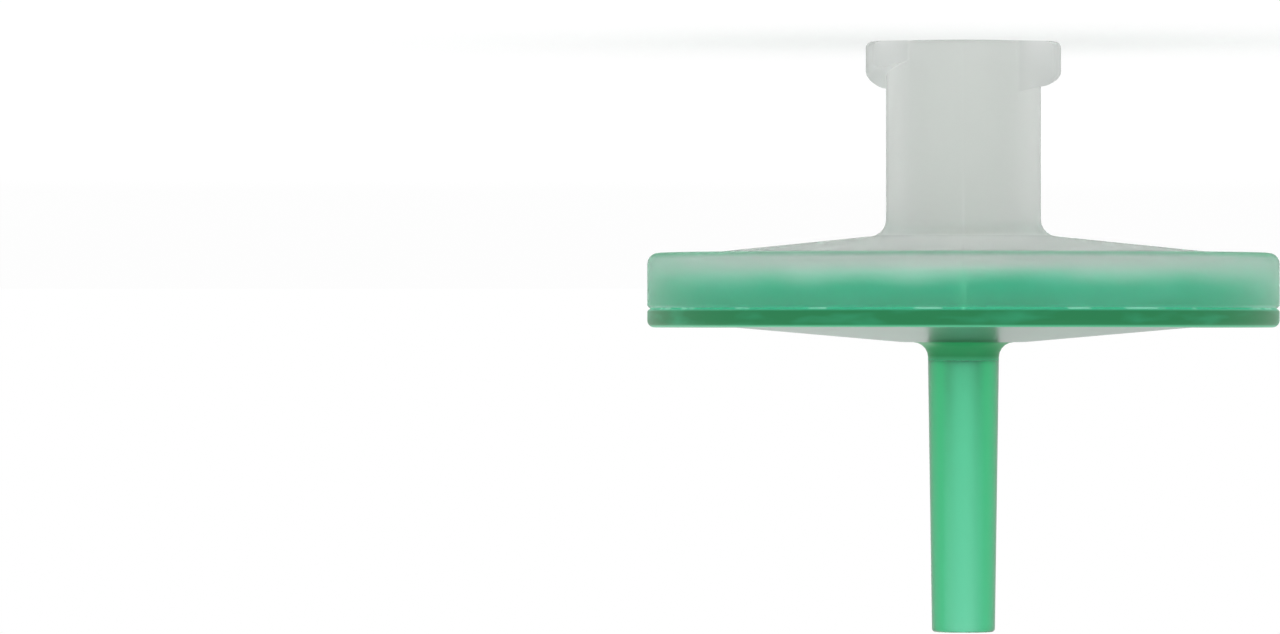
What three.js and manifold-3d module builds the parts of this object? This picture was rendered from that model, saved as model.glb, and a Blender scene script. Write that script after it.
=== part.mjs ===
// Syringe filter with a female luer lock inlet, a welded round chamber and a plain outlet stem.
// Millimetres. The inlet face lies on z = 0, +Z runs along the axis towards the stem's tip, and the
// origin is the centre of the inlet face. The two lock lugs lie on the X axis.
import * as THREE from 'three';
import { mergeVertices } from 'three/addons/utils/BufferGeometryUtils.js';
import Module from 'manifold-3d';

const wasm = await Module();
wasm.setup();

// Between pieces
const seamGap = 0.05; // left all round wherever one moulding seats on another

// Luer lock inlet
const hubRadius = 3.1;
const hubHeight = 7.72; // from the inlet face to where the dome would meet a sharp-cornered hub
const hubFillet = 0.6;
const mouthRadius = 2.15;
const luerTaper = 0.03; // radius lost for each millimetre of depth, which is the 6 % luer cone
const mouthChamfer = 0.15;
const lugRadius = 3.91;
const lugTipAngle = 46; // degrees spanned by a lug's outer arc
const lugRootAngle = 92; // degrees spanned where a lug's sides run into the hub
const lugRootSink = 0.1; // how far the sides run on inside the hub's surface
const lugWeb = 0.35; // how far a lug reaches into the hub's wall
const lugDepth = 1.42; // measured at the middle of the lug
const lugRound = 0.25;
const lugLead = 5; // axial travel for each turn of the right-hand lock thread

// Dome and skirt of the inlet housing
const rimRadius = 12.65;
const domeRadius = 10.3;
const domeRise = 0.73; // between the hub and the flat face of the rim
const domeWall = 1;
const shoulderRound = 0.44;
const skirtHeight = 2.2;
const skirtWall = 1.3;
const webThickness = 0.62; // natural plastic over the seal ring's wall
const weldChamfer = 0.08; // each side of the groove between the skirt and the seal ring
const innerWall = 0.45;

// Seal ring
const ringWall = 1.7;
const flangeThickness = 0.73;
const flangeRound = 0.28;

// Membrane and what presses on it
const membraneThickness = 0.15;
const membraneInset = 0.15; // between the membrane's edge and the spigot's
const sealRibInset = 0.4; // between the membrane's edge and the sealing rib
const sealRibWidth = 0.5;
const sealRibHeight = 0.53; // measured on the rib's inner side
const flowRibShortfall = 0.1; // how much shorter the flow ribs are than the sealing rib
const flowRibWidth = 0.55;
const flowRibPitch = 1.17;
const flowRibMargin = 0.7; // between the sealing rib and the outermost flow rib
const channelCount = 8;
const channelWidth = 0.95;

// Outlet housing
const spigotHeight = 0.45;
const drainDepth = 0.4;
const drainRibCount = 32; // every second one is short, so that the ribs don't crowd the middle
const drainRibWidth = 0.45;
const longRibStart = 2.4;
const shortRibStart = 4.6;
const drainLand = 1.4; // flat ring outside the drain ribs
const plateBorder = 0.35; // flat edge outside the cone
const coneRise = 0.59;
const footBorder = 0.36; // flat seat outside the stem's foot

// Outlet stem
const stemRootRadius = 1.42;
const stemTipRadius = 1.26;
const stemLength = 11.6; // from the seat on the outlet housing to the tip
const stemFlare = 0.62;
const footSink = 0.12; // how far the foot is let into the outlet housing
const tipRound = 0.15;
const stemBoreRadius = 0.55;
const drainBoreRadius = 0.35;
const drainBoreLength = 2.25;
const neckStep = 0.08; // how much wider the neck in the plate is than the stem's root

// Facets
const bodySegments = 48;
const stemSegments = 24;
const roundSteps = 3;
const lugRoundSteps = 2;
const lugSteps = 6;
const mergeTolerance = 1e-5;

// Levels and radii that follow from the sizes above
const domeSlope = domeRise / (domeRadius - hubRadius);
const rimFaceZ = hubHeight + domeRise;
const skirtEndZ = rimFaceZ + skirtHeight;
const webEndZ = rimFaceZ + webThickness;
const skirtInnerRadius = rimRadius - skirtWall;
const ringOuterRadius = skirtInnerRadius - seamGap;
const ringInnerRadius = ringOuterRadius - ringWall;
const chamberOuterRadius = ringInnerRadius - seamGap;
const chamberRadius = chamberOuterRadius - innerWall;
const flangeZ = skirtEndZ + seamGap;
const outletFaceZ = flangeZ + flangeThickness;
const spigotRadius = chamberRadius - seamGap;
const drainRadius = spigotRadius - drainLand;
const membraneRadius = spigotRadius - membraneInset;
const sealRibOuter = membraneRadius - sealRibInset;
const sealRibInner = sealRibOuter - sealRibWidth;
const sealTipZ = ceilingZ(sealRibInner) + sealRibHeight;
const flowTipZ = sealTipZ - flowRibShortfall;
const membraneZ = sealTipZ + seamGap;
const supportZ = membraneZ + membraneThickness + seamGap;
const drainZ = supportZ + drainDepth;
const shoulderZ = supportZ + spigotHeight;
const coneOuterRadius = chamberOuterRadius - plateBorder;
const footRadius = stemRootRadius + stemFlare;
const footHoleRadius = footRadius + seamGap;
const coneInnerRadius = footRadius + footBorder;
const seatZ = outletFaceZ + coneRise;
const footZ = seatZ - footSink;
const footHoleZ = footZ - seamGap;
const neckRadius = stemRootRadius + neckStep;
const neckHoleRadius = neckRadius + seamGap;
const stemTipZ = seatZ + stemLength;

const naturalPlastic = { color: 0xc1c9c2, roughness: 0.4, metalness: 0 };
const greenPlastic = { color: 0x46b47c, roughness: 0.3, metalness: 0 };
const membraneFilm = { color: 0xf3f4f0, roughness: 0.85, metalness: 0 };

// Height of the dome's outer surface, and of the chamber ceiling one wall below it
function domeZ(radius) {
  return rimFaceZ + (radius - domeRadius) * domeSlope;
}

function ceilingZ(radius) {
  return domeZ(radius) + domeWall;
}

// Points of a round in the radius-height plane, angles in degrees
function arc(centreRadius, centreZ, radius, startAngle, endAngle) {
  return Array.from({ length: roundSteps + 1 }, (_, step) => {
    const angle = THREE.MathUtils.degToRad(startAngle + ((endAngle - startAngle) * step) / roundSteps);
    return [centreRadius + radius * Math.cos(angle), centreZ + radius * Math.sin(angle)];
  });
}

// Solid of revolution about Z from a closed profile of [radius, height] points
function revolve(profile, segments) {
  const points = [...profile, profile[0]].map(([radius, height]) => new THREE.Vector2(radius, height));
  return new THREE.LatheGeometry(points, segments).rotateX(Math.PI / 2);
}

function toSolid(geometry) {
  const bare = geometry.clone();
  bare.deleteAttribute('normal');
  bare.deleteAttribute('uv');
  const merged = mergeVertices(bare, mergeTolerance);
  const vertProperties = new Float32Array(merged.attributes.position.array);
  const triVerts = new Uint32Array(merged.index.array);
  return new wasm.Manifold(new wasm.Mesh({ numProp: 3, vertProperties, triVerts }));
}

function toGeometry(solid) {
  const mesh = solid.getMesh();
  const geometry = new THREE.BufferGeometry();
  geometry.setAttribute('position', new THREE.BufferAttribute(mesh.vertProperties, 3));
  geometry.setIndex(new THREE.BufferAttribute(mesh.triVerts, 1));
  geometry.computeVertexNormals();
  return geometry;
}

// Middle radii of the flow ribs, from the outermost one inwards while they clear the hub's bore
function flowRibRadii() {
  const radii = [];
  let radius = sealRibInner - flowRibMargin - flowRibWidth / 2;
  while (radius - flowRibWidth / 2 > hubRadius) {
    radii.push(radius);
    radius -= flowRibPitch;
  }
  return radii;
}

// Profile points of the ring-shaped flow ribs, each standing from the ceiling to its tip
function flowRibProfile() {
  return flowRibRadii().flatMap((radius) => {
    const outer = radius + flowRibWidth / 2;
    const inner = radius - flowRibWidth / 2;
    return [[outer, ceilingZ(outer)], [outer, flowTipZ], [inner, flowTipZ], [inner, ceilingZ(inner)]];
  });
}

// Bar of one width along the X axis, with a side view given by [radius, height] points
function radialBar(sideView, width) {
  const side = new THREE.Shape(sideView.map(([radius, height]) => new THREE.Vector2(radius, height)));
  const bar = new THREE.ExtrudeGeometry(side, { depth: width, bevelEnabled: false });
  return bar.rotateX(Math.PI / 2).translate(0, width / 2, 0);
}

// Angles of copies spread evenly round the axis
function spread(count) {
  return Array.from({ length: count }, (_, index) => (index * 2 * Math.PI) / count);
}

// Cuts the straight radial channels that part the flow ribs into sectors
function cutChannels(solid) {
  const inner = hubRadius;
  const outer = sealRibInner - flowRibMargin / 2;
  const beyondTips = flowTipZ + seamGap;
  const sideView = [[inner, ceilingZ(inner)], [outer, ceilingZ(outer)], [outer, beyondTips], [inner, beyondTips]];
  const cutter = radialBar(sideView, channelWidth);
  return spread(channelCount).reduce((cut, angle) => cut.subtract(toSolid(cutter.clone().rotateZ(angle))), solid);
}

// Adds the radial ribs that carry the membrane over the drain, each running in from the flat ring
function addDrainRibs(solid) {
  const floorZ = (drainZ + seatZ) / 2;
  const outer = drainRadius + drainLand / 2;
  return spread(drainRibCount).reduce((joined, angle, index) => {
    const inner = index % 2 ? shortRibStart : longRibStart;
    const sideView = [[inner, supportZ], [outer, supportZ], [outer, floorZ], [inner, floorZ]];
    return joined.add(toSolid(radialBar(sideView, drainRibWidth).rotateZ(angle)));
  }, solid);
}

// One lock lug, whose back face climbs like a right-hand thread around the hub
function lockLug(centreAngle) {
  const polar = (radius, degrees) => {
    const angle = THREE.MathUtils.degToRad(degrees);
    return new THREE.Vector2(radius * Math.cos(angle), radius * Math.sin(angle));
  };
  const sweep = (radius, span) => Array.from(
    { length: lugSteps + 1 },
    (_, step) => polar(radius, span * (step / lugSteps - 0.5)),
  );
  const root = polar(hubRadius - lugRootSink, lugRootAngle / 2);
  const plan = new THREE.Shape([
    ...sweep(lugRadius, lugTipAngle),
    root,
    ...sweep(mouthRadius, lugRootAngle).reverse(),
    new THREE.Vector2(root.x, -root.y),
  ]);
  const geometry = new THREE.ExtrudeGeometry(plan, {
    depth: lugDepth - 2 * lugRound,
    bevelThickness: lugRound,
    bevelSize: lugRound,
    bevelOffset: -lugRound,
    bevelSegments: lugRoundSteps,
  }).translate(0, 0, lugRound);
  const position = geometry.attributes.position;
  for (let index = 0; index < position.count; index += 1) {
    const turns = Math.atan2(position.getY(index), position.getX(index)) / (2 * Math.PI);
    const height = position.getZ(index);
    position.setZ(index, height > lugDepth / 2 ? height + lugLead * turns : height);
  }
  const coreRadius = hubRadius - lugWeb;
  const core = new THREE.CylinderGeometry(coreRadius, coreRadius, 2 * (lugDepth + lugLead), bodySegments);
  return toSolid(geometry.rotateZ(centreAngle)).subtract(toSolid(core.rotateX(Math.PI / 2)));
}

// Hub, dome, flow ribs, sealing rib, web and skirt in one moulding
function inletHousing() {
  const filletAngle = THREE.MathUtils.radToDeg(Math.atan(domeSlope));
  const filletRadius = hubRadius + hubFillet;
  const filletZ = domeZ(filletRadius) - hubFillet * Math.hypot(1, domeSlope);
  const boreEndZ = (domeZ(mouthRadius) + domeWall) / (1 + domeSlope * luerTaper);
  const boreRadiusAt = (z) => mouthRadius - luerTaper * z;
  const profile = [
    [mouthRadius + mouthChamfer, 0],
    [hubRadius, 0],
    ...arc(filletRadius, filletZ, hubFillet, 180, 90 + filletAngle),
    [domeRadius, rimFaceZ],
    ...arc(rimRadius - shoulderRound, rimFaceZ + shoulderRound, shoulderRound, -90, 0),
    [rimRadius, skirtEndZ - weldChamfer],
    [rimRadius - weldChamfer, skirtEndZ],
    [skirtInnerRadius, skirtEndZ],
    [skirtInnerRadius, webEndZ],
    [chamberOuterRadius, webEndZ],
    [chamberOuterRadius, shoulderZ - seamGap],
    [chamberRadius, shoulderZ - seamGap],
    [chamberRadius, ceilingZ(chamberRadius)],
    [sealRibOuter, ceilingZ(sealRibOuter)],
    [sealRibOuter, sealTipZ],
    [sealRibInner, sealTipZ],
    [sealRibInner, ceilingZ(sealRibInner)],
    ...flowRibProfile(),
    [boreRadiusAt(boreEndZ), boreEndZ],
    [boreRadiusAt(mouthChamfer), mouthChamfer],
  ];
  const body = cutChannels(toSolid(revolve(profile, bodySegments)));
  return toGeometry(body.add(lockLug(0)).add(lockLug(Math.PI)));
}

// Coloured L-section ring between the skirt and the chamber, with its flange below the skirt
function sealRing() {
  const profile = [
    [ringInnerRadius, webEndZ + seamGap],
    [ringOuterRadius, webEndZ + seamGap],
    [ringOuterRadius, flangeZ],
    [rimRadius - weldChamfer, flangeZ],
    [rimRadius, flangeZ + weldChamfer],
    ...arc(rimRadius - flangeRound, outletFaceZ - flangeRound, flangeRound, 0, 90),
    [ringInnerRadius, outletFaceZ],
  ];
  return revolve(profile, bodySegments);
}

function membraneDisc() {
  const disc = new THREE.CylinderGeometry(membraneRadius, membraneRadius, membraneThickness, bodySegments);
  return disc.rotateX(Math.PI / 2);
}

// Round plate that carries the membrane on ribs, drains it to the middle and holds the stem
function outletHousing() {
  const profile = [
    [footHoleRadius, seatZ],
    [footHoleRadius, footHoleZ],
    [neckHoleRadius, footHoleZ],
    [neckHoleRadius, drainZ],
    [drainRadius, drainZ],
    [drainRadius, supportZ],
    [spigotRadius, supportZ],
    [spigotRadius, shoulderZ],
    [chamberOuterRadius, shoulderZ],
    [chamberOuterRadius, outletFaceZ],
    [coneOuterRadius, outletFaceZ],
    [coneInnerRadius, seatZ],
  ];
  return toGeometry(addDrainRibs(toSolid(revolve(profile, bodySegments))));
}

// Tapered stem with a flared foot let into the plate and a neck through it
function outletStem() {
  const drainBoreEndZ = drainZ + drainBoreLength;
  const profile = [
    [drainBoreRadius, drainZ],
    [neckRadius, drainZ],
    [neckRadius, footZ],
    [footRadius, footZ],
    ...arc(footRadius, seatZ + stemFlare, stemFlare, 270, 180),
    ...arc(stemTipRadius - tipRound, stemTipZ - tipRound, tipRound, 0, 90),
    [stemBoreRadius, stemTipZ],
    [stemBoreRadius, drainBoreEndZ],
    [drainBoreRadius, drainBoreEndZ],
  ];
  return revolve(profile, stemSegments);
}

function namedMesh(name, geometry, finish) {
  const mesh = new THREE.Mesh(geometry, new THREE.MeshStandardMaterial(finish));
  mesh.name = name;
  return mesh;
}

const membrane = namedMesh('membrane', membraneDisc(), membraneFilm);
membrane.position.z = membraneZ + membraneThickness / 2;

const group = new THREE.Group();
group.add(
  namedMesh('inlet_housing', inletHousing(), naturalPlastic),
  namedMesh('seal_ring', sealRing(), greenPlastic),
  membrane,
  namedMesh('outlet_housing', outletHousing(), naturalPlastic),
  namedMesh('outlet_stem', outletStem(), greenPlastic),
);

export default group;
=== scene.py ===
import math
import bpy
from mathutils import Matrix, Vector


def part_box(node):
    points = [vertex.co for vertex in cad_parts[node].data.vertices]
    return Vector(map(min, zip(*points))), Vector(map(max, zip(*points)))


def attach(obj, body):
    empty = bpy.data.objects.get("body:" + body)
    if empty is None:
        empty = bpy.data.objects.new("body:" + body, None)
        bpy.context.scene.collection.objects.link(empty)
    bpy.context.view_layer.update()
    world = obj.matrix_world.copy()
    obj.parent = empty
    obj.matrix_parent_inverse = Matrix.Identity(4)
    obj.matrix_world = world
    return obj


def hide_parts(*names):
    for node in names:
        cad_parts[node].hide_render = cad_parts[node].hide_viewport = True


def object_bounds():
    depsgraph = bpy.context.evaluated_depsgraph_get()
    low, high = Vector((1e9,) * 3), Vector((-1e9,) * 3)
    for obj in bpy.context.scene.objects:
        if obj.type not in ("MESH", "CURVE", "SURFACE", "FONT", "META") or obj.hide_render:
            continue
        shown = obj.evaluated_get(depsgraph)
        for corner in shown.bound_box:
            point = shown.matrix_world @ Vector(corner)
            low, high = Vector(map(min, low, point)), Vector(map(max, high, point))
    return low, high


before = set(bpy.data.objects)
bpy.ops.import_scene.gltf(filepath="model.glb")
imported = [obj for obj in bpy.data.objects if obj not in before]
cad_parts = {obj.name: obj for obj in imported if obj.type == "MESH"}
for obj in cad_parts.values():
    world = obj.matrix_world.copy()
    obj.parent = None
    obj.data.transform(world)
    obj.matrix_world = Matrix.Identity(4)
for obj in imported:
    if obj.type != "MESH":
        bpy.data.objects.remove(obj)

scene = bpy.context.scene
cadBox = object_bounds()  # the solids alone, before anything is added
mm = 0.001
weldDistance = 1e-6  # metres; vertices closer than this are one
cutDistance = 1e-7
roundSegments = 5
smoothAngle = 28
polypropyleneIor = 1.49


# edges of the solids, in mm, that the finer pieces are drawn to
def edgesOf(node):
    low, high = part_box(node)
    return {"radius": high[0] / mm, "start": low[2] / mm, "end": high[2] / mm}


housingEdges = edgesOf("inlet_housing")
ringEdges = edgesOf("seal_ring")
plateEdges = edgesOf("outlet_housing")
stemEdges = edgesOf("outlet_stem")


# modelling helpers
def deselectAll():
    bpy.ops.object.select_all(action="DESELECT")


def makeActive(piece):
    deselectAll()
    piece.select_set(True)
    bpy.context.view_layer.objects.active = piece


def selectVertices(piece, wanted):
    bpy.ops.object.mode_set(mode="EDIT")
    bpy.ops.mesh.select_mode(type="VERT")
    bpy.ops.mesh.select_all(action="DESELECT")
    bpy.ops.object.mode_set(mode="OBJECT")
    for vertex in piece.data.vertices:
        vertex.select = wanted(vertex.co)
    bpy.ops.object.mode_set(mode="EDIT")


def closeTo(radius, height):
    target = Vector((radius * mm, 0, height * mm))
    return lambda place: (place - target).length < weldDistance


def spinMoulding(name, corners, steps):
    # corners run round the section as (radius, height, rounding); the rounding is cut back along both edges
    deselectAll()
    radius, height, _ = corners[0]
    bpy.ops.mesh.primitive_plane_add(size=mm, location=(radius * mm, 0, height * mm))
    piece = bpy.context.object
    piece.name = name
    bpy.ops.object.mode_set(mode="EDIT")
    bpy.ops.mesh.merge(type="CENTER")
    for here, there in zip(corners, corners[1:]):
        step = ((there[0] - here[0]) * mm, 0, (there[1] - here[1]) * mm)
        bpy.ops.mesh.extrude_region_move(TRANSFORM_OT_translate={"value": step})
    bpy.ops.object.mode_set(mode="OBJECT")
    bpy.ops.object.transform_apply(location=True, rotation=False, scale=False)
    isFirst, isLast = closeTo(*corners[0][:2]), closeTo(*corners[-1][:2])
    selectVertices(piece, lambda place: isFirst(place) or isLast(place))
    bpy.ops.mesh.edge_face_add()
    for radius, height, rounding in corners:
        if rounding:
            selectVertices(piece, closeTo(radius, height))
            bpy.ops.mesh.bevel(offset=rounding * mm, segments=roundSegments, affect="VERTICES")
    bpy.ops.mesh.select_all(action="SELECT")
    bpy.ops.mesh.spin(steps=steps, angle=2 * math.pi, center=(0, 0, 0), axis=(0, 0, 1))
    bpy.ops.mesh.select_all(action="SELECT")
    bpy.ops.mesh.remove_doubles(threshold=weldDistance)
    bpy.ops.mesh.normals_make_consistent(inside=False)
    bpy.ops.object.mode_set(mode="OBJECT")
    return piece


def applyModifier(piece, kind, **settings):
    makeActive(piece)
    modifier = piece.modifiers.new(kind.title(), kind)
    for key, value in settings.items():
        setattr(modifier, key, value)
    bpy.ops.object.modifier_apply(modifier=modifier.name)


def combine(piece, tool, operation):
    applyModifier(piece, "BOOLEAN", object=tool, operation=operation, solver="EXACT")
    bpy.data.objects.remove(tool)


def turnedCopies(tool, count):
    # joins count copies of the tool, spread evenly round the axis, into one object
    copies = [tool]
    for index in range(1, count):
        copy = tool.copy()
        copy.data = tool.data.copy()
        scene.collection.objects.link(copy)
        makeActive(copy)
        bpy.ops.transform.rotate(value=-2 * math.pi * index / count, orient_axis="Z",
                                 center_override=(0, 0, 0))
        bpy.ops.object.transform_apply(location=True, rotation=True, scale=True)
        copies.append(copy)
    deselectAll()
    for copy in copies:
        copy.select_set(True)
    bpy.context.view_layer.objects.active = tool
    bpy.ops.object.join()
    return tool


def finishPiece(piece, node, material):
    makeActive(piece)
    bpy.ops.object.shade_smooth_by_angle(angle=math.radians(smoothAngle))
    piece.data.materials.clear()
    piece.data.materials.append(material)
    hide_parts(node)
    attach(piece, "root")


# material helpers
def linearColour(hexCode, alpha=1.0):
    # the sRGB curve undone
    values = [int(hexCode[place:place + 2], 16) / 255 for place in (1, 3, 5)]
    return [v / 12.92 if v <= 0.04045 else ((v + 0.055) / 1.055) ** 2.4 for v in values] + [alpha]


def addNode(tree, kind, values=None, links=None, **settings):
    made = tree.nodes.new(kind)
    for key, value in settings.items():
        setattr(made, key, value)
    for socket, value in (values or {}).items():
        made.inputs[socket].default_value = value
    for socket, source in (links or {}).items():
        tree.links.new(source, made.inputs[socket])
    return made


def newMaterial(name):
    material = bpy.data.materials.new(name)
    material.use_nodes = True
    material.node_tree.nodes.clear()
    return material, material.node_tree


# camera and light
view = {"distance": 390, "lens": 274, "sensor": 36, "shiftX": -0.2527, "shiftY": 0.0156, "clipStart": 10}


def makeCamera():
    middle = (cadBox[0][2] + cadBox[1][2]) / 2
    # the part stands on its inlet, and the view shows the inlet on top, so the camera is rolled half round
    bpy.ops.object.camera_add(location=(0, -view["distance"] * mm, middle),
                              rotation=(-math.pi / 2, 0, math.pi))
    camera = bpy.context.object
    camera.data.lens = view["lens"]
    camera.data.sensor_width = view["sensor"]
    camera.data.shift_x = view["shiftX"]
    camera.data.shift_y = view["shiftY"]
    camera.data.clip_start = view["clipStart"] * mm
    scene.camera = camera


def seenRays(tree):
    # 1 for the rays that show the background: straight, mirrored or through the plastic
    path = addNode(tree, "ShaderNodeLightPath")
    first = addNode(tree, "ShaderNodeMath", operation="MAXIMUM",
                    links={0: path.outputs["Is Camera Ray"], 1: path.outputs["Is Glossy Ray"]})
    both = addNode(tree, "ShaderNodeMath", operation="MAXIMUM",
                   links={0: first.outputs[0], 1: path.outputs["Is Transmission Ray"]})
    return both.outputs[0]


studio = {
    "ambient": 0.95, "floorShare": 0.7, "floorSize": 4,
    "lamps": [
        {"name": "keyLamp", "place": (-160, -260, 200), "size": 160, "power": 0.12},
        {"name": "fillLamp", "place": (240, -180, 120), "size": 160, "power": 0.06},
        {"name": "backLamp", "place": (60, 260, 200), "size": 160, "power": 0.08},
    ],
}


def makeStudio():
    world = bpy.data.worlds.new("lightTent")
    scene.world = world
    world.use_nodes = True
    tree = world.node_tree
    tree.nodes.clear()
    seen = seenRays(tree)
    strength = addNode(tree, "ShaderNodeMapRange", {3: studio["ambient"], 4: 1.0}, {0: seen})
    tent = addNode(tree, "ShaderNodeBackground", {"Color": (1, 1, 1, 1)}, {"Strength": strength.outputs[0]})
    addNode(tree, "ShaderNodeOutputWorld", links={"Surface": tent.outputs[0]})

    material, tree = newMaterial("whiteTable")
    share = addNode(tree, "ShaderNodeMath", {1: studio["floorShare"]}, {0: seenRays(tree)},
                    operation="MULTIPLY")
    lit = addNode(tree, "ShaderNodeBsdfDiffuse", {"Color": (1, 1, 1, 1)})
    glow = addNode(tree, "ShaderNodeEmission", {"Color": (1, 1, 1, 1), "Strength": 1.0})
    mix = addNode(tree, "ShaderNodeMixShader",
                  links={0: share.outputs[0], 1: lit.outputs[0], 2: glow.outputs[0]})
    addNode(tree, "ShaderNodeOutputMaterial", links={"Surface": mix.outputs[0]})
    deselectAll()
    bpy.ops.mesh.primitive_plane_add(size=studio["floorSize"], location=(0, 0, cadBox[0][2]))
    table = bpy.context.object
    table.name = "table"
    table.data.materials.append(material)

    middle = Vector((0, 0, (cadBox[0][2] + cadBox[1][2]) / 2))
    for lamp in studio["lamps"]:
        place = Vector(lamp["place"]) * mm
        bpy.ops.object.light_add(type="AREA", location=place)
        light = bpy.context.object
        light.name = lamp["name"]
        light.rotation_euler = (middle - place).to_track_quat("-Z", "Y").to_euler()
        light.data.size = lamp["size"] * mm
        light.data.energy = lamp["power"]
        light.visible_camera = False
        light.visible_transmission = False
    scene.view_settings.view_transform = "Standard"


makeCamera()
makeStudio()
print("camera and light made")


# materials
def alongAxis(tree, place, index, low, high, drift=None):
    # 0 to 1 while one object coordinate, with any drift added to it, goes from low to high, in mm
    parts = addNode(tree, "ShaderNodeSeparateXYZ", links={0: place.outputs["Object"]})
    level = parts.outputs[index]
    if drift:
        level = addNode(tree, "ShaderNodeMath", links={0: level, 1: drift}, operation="ADD").outputs[0]
    step = addNode(tree, "ShaderNodeMapRange", {1: low * mm, 2: high * mm}, {0: level})
    return step.outputs[0]


def blend(tree, factor, first, second):
    # first and second are either hex codes or sockets
    colours = {6: first, 7: second}
    values = {socket: linearColour(colour) for socket, colour in colours.items() if isinstance(colour, str)}
    links = {socket: colour for socket, colour in colours.items() if not isinstance(colour, str)}
    mix = addNode(tree, "ShaderNodeMix", values, {0: factor, **links}, data_type="RGBA")
    return mix.outputs[2]


def product(tree, first, *others):
    for other in others:
        first = addNode(tree, "ShaderNodeMath", links={0: first, 1: other}, operation="MULTIPLY").outputs[0]
    return first


def fromAxis(tree, place, low, high):
    # 0 to 1 while the distance from the axis goes from low to high, in mm
    flat = addNode(tree, "ShaderNodeVectorMath", {1: (1, 1, 0)}, {0: place.outputs["Object"]},
                   operation="MULTIPLY")
    radius = addNode(tree, "ShaderNodeVectorMath", links={0: flat.outputs[0]}, operation="LENGTH")
    step = addNode(tree, "ShaderNodeMapRange", {1: low * mm, 2: high * mm}, {0: radius.outputs["Value"]})
    return step.outputs[0]


def patches(tree, place, size, stretch, low, high):
    # soft patches of about the size, in mm, 0 to 1 while the noise goes from low to high
    squeezed = addNode(tree, "ShaderNodeVectorMath", {1: stretch}, {0: place.outputs["Object"]},
                       operation="MULTIPLY")
    noise = addNode(tree, "ShaderNodeTexNoise", {"Scale": 1 / (size * mm), "Detail": 2.0},
                    {"Vector": squeezed.outputs[0]})
    step = addNode(tree, "ShaderNodeMapRange", {1: low, 2: high}, {0: noise.outputs["Fac"]})
    return step.outputs[0]


def knitLine(tree, place, width):
    # the melt meets itself in the plane x = 0 and leaves a fine line there
    return product(tree, alongAxis(tree, place, 0, -width, 0), alongAxis(tree, place, 0, width, 0))


naturalLook = {
    "hub": "#edefed", "lug": "#dee1df", "lugShadeFrom": (3.1, 3.14), "lugShadeEnd": (2.8, 3.0),
    "dome": "#fcfdfc", "hubShadeEnd": (7.2, 8.2), "skirt": "#f1f8f4", "skirtGreenLightFrom": (12.1, 12.5),
    "shoulder": "#8fdcb8", "shoulderEnd": (8.68, 8.52), "shoulderStart": (12.0, 12.5),
    "roughness": 0.68, "ior": 1.4, "transmission": 0.97, "knitWidth": 0.1, "knitStart": (5, 7.4),
    "grain": 0.35, "grainShare": 0.3, "reliefStrength": 0.25, "reliefDepth": 0.02,
}


def naturalPolypropylene():
    # natural polypropylene, injection moulded in a fine-spark mould: milky, see-through, satin
    look = naturalLook
    material, tree = newMaterial("naturalPolypropylene")
    place = addNode(tree, "ShaderNodeTexCoord")
    knit = knitLine(tree, place, look["knitWidth"])
    # painted shade: the hub and its lugs are painted darker than the dome of the same moulding, the lugs
    # darkest
    colour = blend(tree, fromAxis(tree, place, *look["lugShadeFrom"]), look["hub"], look["lug"])
    colour = blend(tree, alongAxis(tree, place, 2, *look["lugShadeEnd"]), colour, look["hub"])
    colour = blend(tree, alongAxis(tree, place, 2, *look["hubShadeEnd"]), colour, look["dome"])
    paleKnit = product(tree, knit, alongAxis(tree, place, 2, *look["knitStart"]))
    colour = blend(tree, paleKnit, colour, look["dome"])
    # painted light: the outside of the skirt is tinted by the green of the wall behind it
    colour = blend(tree, fromAxis(tree, place, *look["skirtGreenLightFrom"]), colour, look["skirt"])
    # the round of the shoulder gathers light from the green wall below it
    shoulder = product(tree, alongAxis(tree, place, 2, *look["shoulderEnd"]),
                       fromAxis(tree, place, *look["shoulderStart"]))
    colour = blend(tree, shoulder, colour, look["shoulder"])
    grain = addNode(tree, "ShaderNodeTexNoise", {"Scale": 1 / (look["grain"] * mm), "Detail": 3.0},
                    {"Vector": place.outputs["Object"]})
    relief = addNode(tree, "ShaderNodeMath", {1: look["grainShare"]}, {0: grain.outputs["Fac"], 2: knit},
                     operation="MULTIPLY_ADD")
    bump = addNode(tree, "ShaderNodeBump", {
        "Strength": look["reliefStrength"], "Distance": look["reliefDepth"] * mm,
    }, {"Height": relief.outputs[0]})
    body = addNode(tree, "ShaderNodeBsdfPrincipled", {
        "Roughness": look["roughness"], "IOR": look["ior"], "Transmission Weight": look["transmission"],
    }, {"Base Color": colour, "Normal": bump.outputs[0]})
    addNode(tree, "ShaderNodeOutputMaterial", links={"Surface": body.outputs[0]})
    return material


chamberLook = {"colour": "#fbfffd", "roughness": 0.4, "ior": 1.4, "transmission": 0.75}


def chamberPolypropylene():
    # the ribbed inside of the same moulding, a little duller from the mould
    look = chamberLook
    material, tree = newMaterial("chamberPolypropylene")
    body = addNode(tree, "ShaderNodeBsdfPrincipled", {
        "Base Color": linearColour(look["colour"]), "Roughness": look["roughness"], "IOR": look["ior"],
        "Transmission Weight": look["transmission"],
    })
    addNode(tree, "ShaderNodeOutputMaterial", links={"Surface": body.outputs[0]})
    return material


plateLook = {
    "inside": "#ffffff", "outside": "#70a68a", "blend": (10.5, 11.3), "roughness": 0.29, "specular": 0.1,
    "transmission": 0.85,
}


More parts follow.
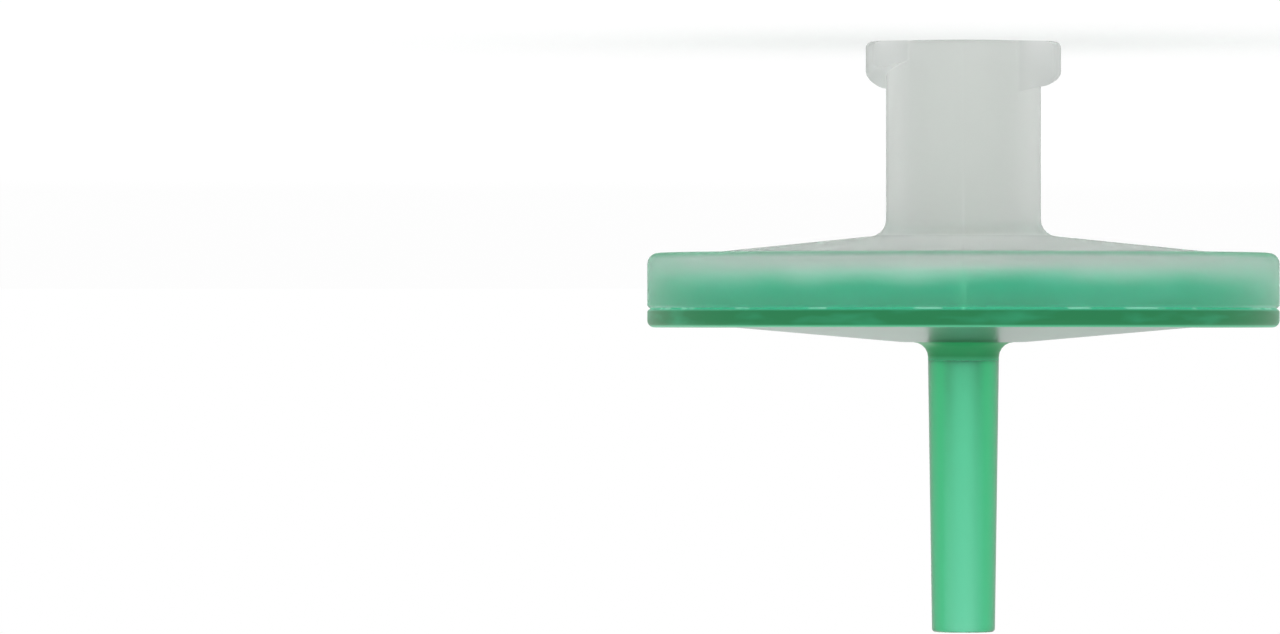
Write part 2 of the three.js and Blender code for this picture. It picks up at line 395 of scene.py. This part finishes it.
def platePolypropylene():
    # the same natural resin in a coarser mould, so the plate is dull; its outside is painted a deep
    # grey-green, painted shade with a painted reflection of the green ring and stem beside it
    look = plateLook
    material, tree = newMaterial("platePolypropylene")
    place = addNode(tree, "ShaderNodeTexCoord")
    colour = blend(tree, alongAxis(tree, place, 2, *look["blend"]), look["inside"], look["outside"])
    body = addNode(tree, "ShaderNodeBsdfPrincipled", {
        "Roughness": look["roughness"], "IOR": polypropyleneIor, "Specular IOR Level": look["specular"],
        "Transmission Weight": look["transmission"],
    }, {"Base Color": colour})
    addNode(tree, "ShaderNodeOutputMaterial", links={"Surface": body.outputs[0]})
    return material


greenRingLook = {
    "wall": "#18be94", "wallFootHighlight": "#48c09c", "footHighlightFade": (9.9, 10.5), "streak": "#52ccab",
    "skirtLightEdge": "#bfeadb", "edgeFade": (9.75, 9.05), "waver": (0.14, -0.21), "wallRadius": (11.28, 11.3),
    "bead": "#4ac499", "beadHighlightFrom": (11.4, 11.45), "knit": "#6fe0b8",
    "flange": "#247a4c", "flangeStreak": "#2f9166", "toFlange": (10.7, 10.79),
    "flangeEdge": "#4cb184", "flangeEdgeFrom": (11.32, 11.38), "flangeEdgeRadius": (12.2, 12.4),
    "flash": "#8adabd", "flashBand": (10.6, 10.73), "flashFade": 0.02, "flashRadius": (12.3, 12.35),
    # size, stretch and threshold of each kind of patch
    "streakPatches": (4, (1, 1, 5), 0.5, 0.75), "waverPatches": (5, (1, 1, 0), 0.35, 0.65),
    "flangePatches": (2.5, (1, 1, 4), 0.5, 0.75), "flashPatches": (1.6, (1, 1, 0), 0.52, 0.58),
    "knitWidth": 0.12, "roughness": 0.4, "specular": 0.15,
}


def greenRingPolypropylene():
    # pigmented polypropylene: deep green in the thick flange, clearer in the wall lit through the skirt
    look = greenRingLook
    material, tree = newMaterial("greenRingPolypropylene")
    place = addNode(tree, "ShaderNodeTexCoord")
    # flow streaks of the melt lie round the wall, whose foot towards the flange is painted paler, a painted
    # highlight along the joint
    wall = blend(tree, alongAxis(tree, place, 2, *look["footHighlightFade"]), look["wall"], look["wallFootHighlight"])
    wall = blend(tree, patches(tree, place, *look["streakPatches"]), wall, look["streak"])
    # the wall is painted paler towards its edge, with an uneven front, painted light scattered through the
    # skirt; the weld bead under the skirt is painted paler too, a painted highlight along the joint
    least, most = look["waver"]
    waver = addNode(tree, "ShaderNodeMapRange", {3: least * mm, 4: most * mm},
                    {0: patches(tree, place, *look["waverPatches"])})
    fade = product(tree, alongAxis(tree, place, 2, *look["edgeFade"], waver.outputs[0]),
                   fromAxis(tree, place, *look["wallRadius"]))
    wall = blend(tree, fade, wall, look["skirtLightEdge"])
    wall = blend(tree, fromAxis(tree, place, *look["beadHighlightFrom"]), wall, look["bead"])
    wall = blend(tree, knitLine(tree, place, look["knitWidth"]), wall, look["knit"])
    flangePatches = patches(tree, place, *look["flangePatches"])
    flange = blend(tree, flangePatches, look["flange"], look["flangeStreak"])
    # light comes through the round of the flange's edge
    edge = product(tree, alongAxis(tree, place, 2, *look["flangeEdgeFrom"]),
                   fromAxis(tree, place, *look["flangeEdgeRadius"]))
    flange = blend(tree, edge, flange, look["flangeEdge"])
    colour = blend(tree, alongAxis(tree, place, 2, *look["toFlange"]), wall, flange)
    # the weld has pressed out a broken line of pale flash
    low, high = look["flashBand"]
    flash = product(tree, alongAxis(tree, place, 2, low, low + look["flashFade"]),
                    alongAxis(tree, place, 2, high, high - look["flashFade"]),
                    fromAxis(tree, place, *look["flashRadius"]), patches(tree, place, *look["flashPatches"]))
    colour = blend(tree, flash, colour, look["flash"])
    body = addNode(tree, "ShaderNodeBsdfPrincipled", {
        "Roughness": look["roughness"], "IOR": polypropyleneIor, "Specular IOR Level": look["specular"],
    }, {"Base Color": colour})
    addNode(tree, "ShaderNodeOutputMaterial", links={"Surface": body.outputs[0]})
    return material


greenStemLook = {"roughness": 0.35, "tint": "#44ebc8", "density": 1500}


def greenStemPolypropylene():
    # the same green resin in a thin tube: light comes through it and is coloured by the way it goes
    look = greenStemLook
    material, tree = newMaterial("greenStemPolypropylene")
    body = addNode(tree, "ShaderNodeBsdfPrincipled", {
        "Base Color": (1, 1, 1, 1), "Roughness": look["roughness"], "IOR": polypropyleneIor,
        "Transmission Weight": 1.0,
    })
    depth = addNode(tree, "ShaderNodeVolumeAbsorption", {
        "Color": linearColour(look["tint"]), "Density": look["density"],
    })
    addNode(tree, "ShaderNodeOutputMaterial",
            links={"Surface": body.outputs[0], "Volume": depth.outputs[0]})
    return material


greenRootLook = {
    "neck": "#00602f", "foot": "#2c9058", "footFrom": (11.86, 11.9),
    "throughLight": "#4cb482", "throughLightFrom": (12.56, 12.75), "roughness": 0.4, "specular": 0.15,
}


def greenRootPolypropylene():
    # the root of the same moulding, too thick for light to come through, and deepest inside the plate
    look = greenRootLook
    material, tree = newMaterial("greenRootPolypropylene")
    place = addNode(tree, "ShaderNodeTexCoord")
    colour = blend(tree, alongAxis(tree, place, 2, *look["footFrom"]), look["neck"], look["foot"])
    # painted light: the root is paler where its wall thins towards the bore, standing in for light coming
    # through it
    colour = blend(tree, alongAxis(tree, place, 2, *look["throughLightFrom"]), colour, look["throughLight"])
    body = addNode(tree, "ShaderNodeBsdfPrincipled", {
        "Roughness": look["roughness"], "IOR": polypropyleneIor, "Specular IOR Level": look["specular"],
    }, {"Base Color": colour})
    addNode(tree, "ShaderNodeOutputMaterial", links={"Surface": body.outputs[0]})
    return material


membraneLook = {"colour": "#f9faf7", "roughness": 0.9}


def membraneFilm():
    # cast porous membrane: dull white
    look = membraneLook
    material, tree = newMaterial("membraneFilm")
    body = addNode(tree, "ShaderNodeBsdfPrincipled", {
        "Base Color": linearColour(look["colour"]), "Roughness": look["roughness"],
    })
    addNode(tree, "ShaderNodeOutputMaterial", links={"Surface": body.outputs[0]})
    return material


naturalMaterial = naturalPolypropylene()
chamberMaterial = chamberPolypropylene()
plateMaterial = platePolypropylene()
ringMaterial = greenRingPolypropylene()
stemMaterial = greenStemPolypropylene()
rootMaterial = greenRootPolypropylene()
membraneMaterial = membraneFilm()
print("materials made")


# inlet housing
housing = {
    "steps": 192, "hubRadius": 3.1, "hubFoot": 7.72, "hubFillet": 0.6, "endRound": 0.1,
    "mouthRadius": 2.15, "mouthChamfer": 0.15, "taper": 0.03,
    "domeRadius": 10.3, "domeRise": 0.73, "domeWall": 1.0, "domeBlend": 0.5,
    "skirtHeight": 2.2, "skirtWall": 1.3, "shoulderRound": 0.44, "weldChamfer": 0.08,
    "web": 0.62, "innerWall": 0.45, "innerWallEnd": 10.4,
    "sealRib": (8.5, 8.0), "sealTip": 9.747, "flowTip": 9.647,
    "flowRibs": (7.025, 5.855, 4.685, 3.515), "flowRibWidth": 0.55, "edgeRound": 0.06,
    "channels": 8, "channelWidth": 0.95, "channelDepth": 1.2, "channelSink": 0.03, "channelReach": 7.65,
    "mouthEdge": 0.03, "weldEdge": 0.02, "wallEdge": 0.04, "webEdge": 0.05, "cornerRound": 0.1,
    "boreEndRound": 0.12, "chamberShare": 0.6, "chamberMargin": 0.01,
}


def domeSlope():
    return housing["domeRise"] / (housing["domeRadius"] - housing["hubRadius"])


def domeHeight(radius):
    return housing["hubFoot"] + housing["domeRise"] + (radius - housing["domeRadius"]) * domeSlope()


def ceilingHeight(radius):
    return domeHeight(radius) + housing["domeWall"]


def ribCorners():
    # the ring-shaped flow ribs, from the outermost inwards
    corners = []
    tip, edgeRound = housing["flowTip"], housing["edgeRound"]
    for radius in housing["flowRibs"]:
        outer = radius + housing["flowRibWidth"] / 2
        inner = radius - housing["flowRibWidth"] / 2
        corners += [(outer, ceilingHeight(outer), edgeRound), (outer, tip, edgeRound),
                    (inner, tip, edgeRound), (inner, ceilingHeight(inner), edgeRound)]
    return corners


def channelCutters():
    inner, outer = housing["hubRadius"], housing["channelReach"]
    rise = ceilingHeight(outer) - ceilingHeight(inner)
    deep = housing["channelDepth"]
    middle = (ceilingHeight(inner) + ceilingHeight(outer)) / 2 + deep / 2 - housing["channelSink"]
    deselectAll()
    bpy.ops.mesh.primitive_cube_add(
        size=mm, location=((inner + outer) / 2 * mm, 0, middle * mm),
        rotation=(0, -math.atan2(rise, outer - inner), 0))
    cutter = bpy.context.object
    cutter.scale = (outer - inner, housing["channelWidth"], deep)
    bpy.ops.object.transform_apply(location=True, rotation=True, scale=True)
    return turnedCopies(cutter, housing["channels"])


lug = {
    "radius": 3.91, "sink": 0.15, "depth": 1.42, "lead": 5, "sweep": 112, "steps": 56,
    "tipAngle": 23, "rootAngle": 46, "edgeRound": 0.25, "edgeSteps": 4,
    "blankDepth": 3.5, "overrun": 0.2,  # how far the threaded sweep starts in front of the lug's face
}


def lugSweep(name, low, high, rounded, climb):
    # a bar swept round the hub, with one of its outer corners rounded, climbing by so much on the way
    inner, outer = housing["hubRadius"] - lug["sink"], lug["radius"]
    deselectAll()
    bpy.ops.mesh.primitive_plane_add(
        size=mm, location=((inner + outer) / 2 * mm, 0, (low + high) / 2 * mm),
        rotation=(math.pi / 2, 0, 0))
    piece = bpy.context.object
    piece.name = name
    piece.scale = (outer - inner, high - low, 1)
    bpy.ops.object.transform_apply(location=True, rotation=True, scale=True)
    selectVertices(piece, closeTo(outer, rounded))
    bpy.ops.mesh.bevel(offset=lug["edgeRound"] * mm, segments=lug["edgeSteps"], affect="VERTICES")
    bpy.ops.mesh.select_all(action="SELECT")
    bpy.ops.mesh.delete(type="ONLY_FACE")
    bpy.ops.object.mode_set(mode="OBJECT")
    applyModifier(piece, "SCREW", axis="Z", angle=math.radians(lug["sweep"]), steps=lug["steps"],
                  render_steps=lug["steps"], screw_offset=climb * mm, use_normal_calculate=True)
    makeActive(piece)
    bpy.ops.transform.rotate(value=math.radians(lug["sweep"] / 2), orient_axis="Z",
                             center_override=(0, 0, 0))
    bpy.ops.object.transform_apply(location=True, rotation=True, scale=True)
    bpy.ops.object.mode_set(mode="EDIT")
    bpy.ops.mesh.select_all(action="SELECT")
    bpy.ops.mesh.fill_holes(sides=0)
    bpy.ops.mesh.normals_make_consistent(inside=False)
    bpy.ops.object.mode_set(mode="OBJECT")
    return piece


def cornerAt(radius, degrees):
    angle = math.radians(degrees)
    return Vector((radius * math.cos(angle), radius * math.sin(angle)))


def makeLugs():
    # the front half is flat and the back half climbs like a thread, so a lug is what both sweeps share
    climb = lug["lead"] * lug["sweep"] / 360
    back = lug["depth"] - climb / 2
    threaded = lugSweep("threadedSweep", -climb - lug["overrun"], back, back, climb)
    piece = lugSweep("lockLug", 0, lug["blankDepth"], 0, 0)
    combine(piece, threaded, "INTERSECT")
    tip = cornerAt(lug["radius"], lug["tipAngle"])
    root = cornerAt(housing["hubRadius"], lug["rootAngle"])
    side = (tip - root).normalized()
    makeActive(piece)
    bpy.ops.object.mode_set(mode="EDIT")
    for way in (1, -1):
        bpy.ops.mesh.select_all(action="SELECT")
        bpy.ops.mesh.bisect(plane_co=(tip.x * mm, way * tip.y * mm, 0), plane_no=(-side.y, way * side.x, 0),
                            use_fill=True, clear_outer=True, threshold=cutDistance)
    bpy.ops.mesh.select_all(action="SELECT")
    bpy.ops.mesh.remove_doubles(threshold=weldDistance)
    bpy.ops.mesh.normals_make_consistent(inside=False)
    bpy.ops.object.mode_set(mode="OBJECT")
    return turnedCopies(piece, 2)


def makeInletHousing():
    h = housing
    rim, skirtEnd = housingEdges["radius"], housingEdges["end"]
    rimFace = skirtEnd - h["skirtHeight"]
    skirtInner = rim - h["skirtWall"]
    webEnd = rimFace + h["web"]
    chamberOuter = plateEdges["radius"]
    chamber = chamberOuter - h["innerWall"]
    sealOuter, sealInner = h["sealRib"]
    boreEnd = (domeHeight(h["mouthRadius"]) + h["domeWall"]) / (1 + h["taper"] * domeSlope())
    e = h["edgeRound"]
    corners = [
        (h["mouthRadius"] + h["mouthChamfer"], 0, h["mouthEdge"]),
        (h["hubRadius"], 0, h["endRound"]),
        (h["hubRadius"], h["hubFoot"], h["hubFillet"]),
        (h["domeRadius"], rimFace, h["domeBlend"]),
        (rim, rimFace, h["shoulderRound"]),
        (rim, skirtEnd - h["weldChamfer"], h["weldEdge"]),
        (rim - h["weldChamfer"], skirtEnd, 0),
        (skirtInner, skirtEnd, h["wallEdge"]),
        (skirtInner, webEnd, h["cornerRound"]),
        (chamberOuter, webEnd, h["webEdge"]),
        (chamberOuter, h["innerWallEnd"], h["wallEdge"]),
        (chamber, h["innerWallEnd"], h["wallEdge"]),
        (chamber, ceilingHeight(chamber), h["cornerRound"]),
        (sealOuter, ceilingHeight(sealOuter), e),
        (sealOuter, h["sealTip"], e),
        (sealInner, h["sealTip"], e),
        (sealInner, ceilingHeight(sealInner), e),
        *ribCorners(),
        (h["mouthRadius"] - h["taper"] * boreEnd, boreEnd, h["boreEndRound"]),
        (h["mouthRadius"] - h["taper"] * h["mouthChamfer"], h["mouthChamfer"], h["mouthEdge"]),
    ]
    piece = spinMoulding("inletMoulding", corners, h["steps"])
    combine(piece, channelCutters(), "DIFFERENCE")
    combine(piece, makeLugs(), "UNION")
    finishPiece(piece, "inlet_housing", naturalMaterial)
    piece.data.materials.append(chamberMaterial)
    for face in piece.data.polygons:
        radius = math.hypot(face.center.x, face.center.y) / mm
        isInside = radius < chamber + h["chamberMargin"]
        if isInside and face.center.z / mm > domeHeight(radius) + h["domeWall"] * h["chamberShare"]:
            face.material_index = 1


makeInletHousing()
print("inlet housing made")


# seal ring
ring = {
    "steps": 192, "wallInner": 9.6, "flange": 0.73, "flangeRound": 0.28,
    "innerRound": 0.06, "outerRound": 0.08, "rimEdge": 0.02, "faceEdge": 0.04,
    "weld": 0.02,  # the wall is fused into the skirt by this much, so no air shows between them
    "beadRadius": 12.54,  # the weld reaches out to here and leaves a fine groove round the rim
}


def makeSealRing():
    rim, end = ringEdges["radius"], ringEdges["end"]
    flangeStart = end - ring["flange"]
    chamfer = housing["weldChamfer"]
    wallOuter = rim - housing["skirtWall"] + ring["weld"]
    beadStart = housingEdges["end"] - ring["weld"]
    corners = [
        (ring["wallInner"], ringEdges["start"], ring["innerRound"]),
        (wallOuter, ringEdges["start"], ring["outerRound"]),
        (wallOuter, beadStart, 0),
        (ring["beadRadius"], beadStart, 0),
        (ring["beadRadius"], flangeStart, 0),
        (rim - chamfer, flangeStart, 0),
        (rim, flangeStart + chamfer, ring["rimEdge"]),
        (rim, end, ring["flangeRound"]),
        (ring["wallInner"], end, ring["faceEdge"]),
    ]
    piece = spinMoulding("sealRingMoulding", corners, ring["steps"])
    finishPiece(piece, "seal_ring", ringMaterial)


makeSealRing()
print("seal ring made")


# outlet housing
plate = {
    "steps": 192, "support": 9.997, "drain": 10.397, "shoulder": 10.447, "spigot": 9.05, "land": 7.65,
    "coneOuter": 9.2, "coneStart": 11.43, "coneInner": 2.4, "hole": 1.55, "footHole": (2.09, 11.85),
    "ribs": 16, "ribWidth": 0.45, "longRib": 2.4, "shortRib": 4.6, "ribEnd": 8.35, "ribRoot": 11.2,
    "ribEdgeSteps": 2, "footEdge": 0.02, "holeEdge": 0.03, "wallEdge": 0.04,
    "coneEase": 0.3, "seatEase": 0.15,
}


def drainRibs(start, turn):
    # half of the radial ribs that carry the membrane, each with eased edges
    p = plate
    deselectAll()
    bpy.ops.mesh.primitive_cube_add(
        size=mm, location=((start + p["ribEnd"]) / 2 * mm, 0, (p["support"] + p["ribRoot"]) / 2 * mm))
    piece = bpy.context.object
    piece.scale = (p["ribEnd"] - start, p["ribWidth"], p["ribRoot"] - p["support"])
    bpy.ops.object.transform_apply(location=True, rotation=False, scale=True)
    applyModifier(piece, "BEVEL", width=housing["edgeRound"] * mm, segments=p["ribEdgeSteps"])
    makeActive(piece)
    bpy.ops.transform.rotate(value=-turn, orient_axis="Z", center_override=(0, 0, 0))
    bpy.ops.object.transform_apply(location=True, rotation=True, scale=True)
    return turnedCopies(piece, p["ribs"])


def makeOutletHousing():
    p = plate
    e = housing["edgeRound"]
    corners = [
        (p["footHole"][0], plateEdges["end"], p["footEdge"]),
        (p["footHole"][0], p["footHole"][1], p["footEdge"]),
        (p["hole"], p["footHole"][1], p["footEdge"]),
        (p["hole"], p["drain"], p["holeEdge"]),
        (p["land"], p["drain"], e),
        (p["land"], p["support"], e),
        (p["spigot"], p["support"], e),
        (p["spigot"], p["shoulder"], p["wallEdge"]),
        (plateEdges["radius"], p["shoulder"], p["wallEdge"]),
        (plateEdges["radius"], p["coneStart"], p["wallEdge"]),
        (p["coneOuter"], p["coneStart"], p["coneEase"]),
        (p["coneInner"], plateEdges["end"], p["seatEase"]),
    ]
    piece = spinMoulding("outletPlate", corners, p["steps"])
    combine(piece, drainRibs(p["longRib"], 0), "UNION")
    combine(piece, drainRibs(p["shortRib"], math.pi / p["ribs"]), "UNION")
    finishPiece(piece, "outlet_housing", plateMaterial)


makeOutletHousing()
print("outlet housing made")


# outlet stem
stem = {
    "steps": 96, "drainBore": 0.35, "neckStart": 10.397, "foot": 11.9, "seat": 12.02,
    "root": 1.42, "tip": 1.26, "flare": 0.6, "bore": 0.55, "boreStart": 12.647, "tipRound": 0.15,
    "boreEdge": 0.03, "neckRound": 0.04, "footEdge": 0.02, "seatEdge": 0.01,
    "tipEdge": 0.05, "boreStep": 0.1,
    "weld": 0.02,  # the neck is fused into the plate by this much
    "solidEnd": 12.75,  # below this level the green is too thick for light to come through
}


def makeOutletStem():
    s = stem
    neck = plate["hole"] + s["weld"]
    corners = [
        (s["drainBore"], s["neckStart"], s["boreEdge"]),
        (neck, s["neckStart"], s["neckRound"]),
        (neck, s["foot"], s["footEdge"]),
        (stemEdges["radius"], s["foot"], s["footEdge"]),
        (stemEdges["radius"], s["seat"], s["seatEdge"]),
        (s["root"], s["seat"], s["flare"]),
        (s["root"], s["solidEnd"], 0),
        (s["tip"], stemEdges["end"], s["tipRound"]),
        (s["bore"], stemEdges["end"], s["tipEdge"]),
        (s["bore"], s["boreStart"], s["boreStep"]),
        (s["drainBore"], s["boreStart"] - s["boreStep"], s["boreEdge"]),
    ]
    piece = spinMoulding("stemMoulding", corners, s["steps"])
    finishPiece(piece, "outlet_stem", stemMaterial)
    piece.data.materials.append(rootMaterial)
    for face in piece.data.polygons:
        isOuter = math.hypot(face.center.x, face.center.y) > s["tip"] * mm
        if isOuter and face.center.z < s["solidEnd"] * mm:
            face.material_index = 1


makeOutletStem()
print("outlet stem made")


# membrane
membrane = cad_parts["membrane"]
membrane.data.materials.clear()
membrane.data.materials.append(membraneMaterial)
print("membrane made")
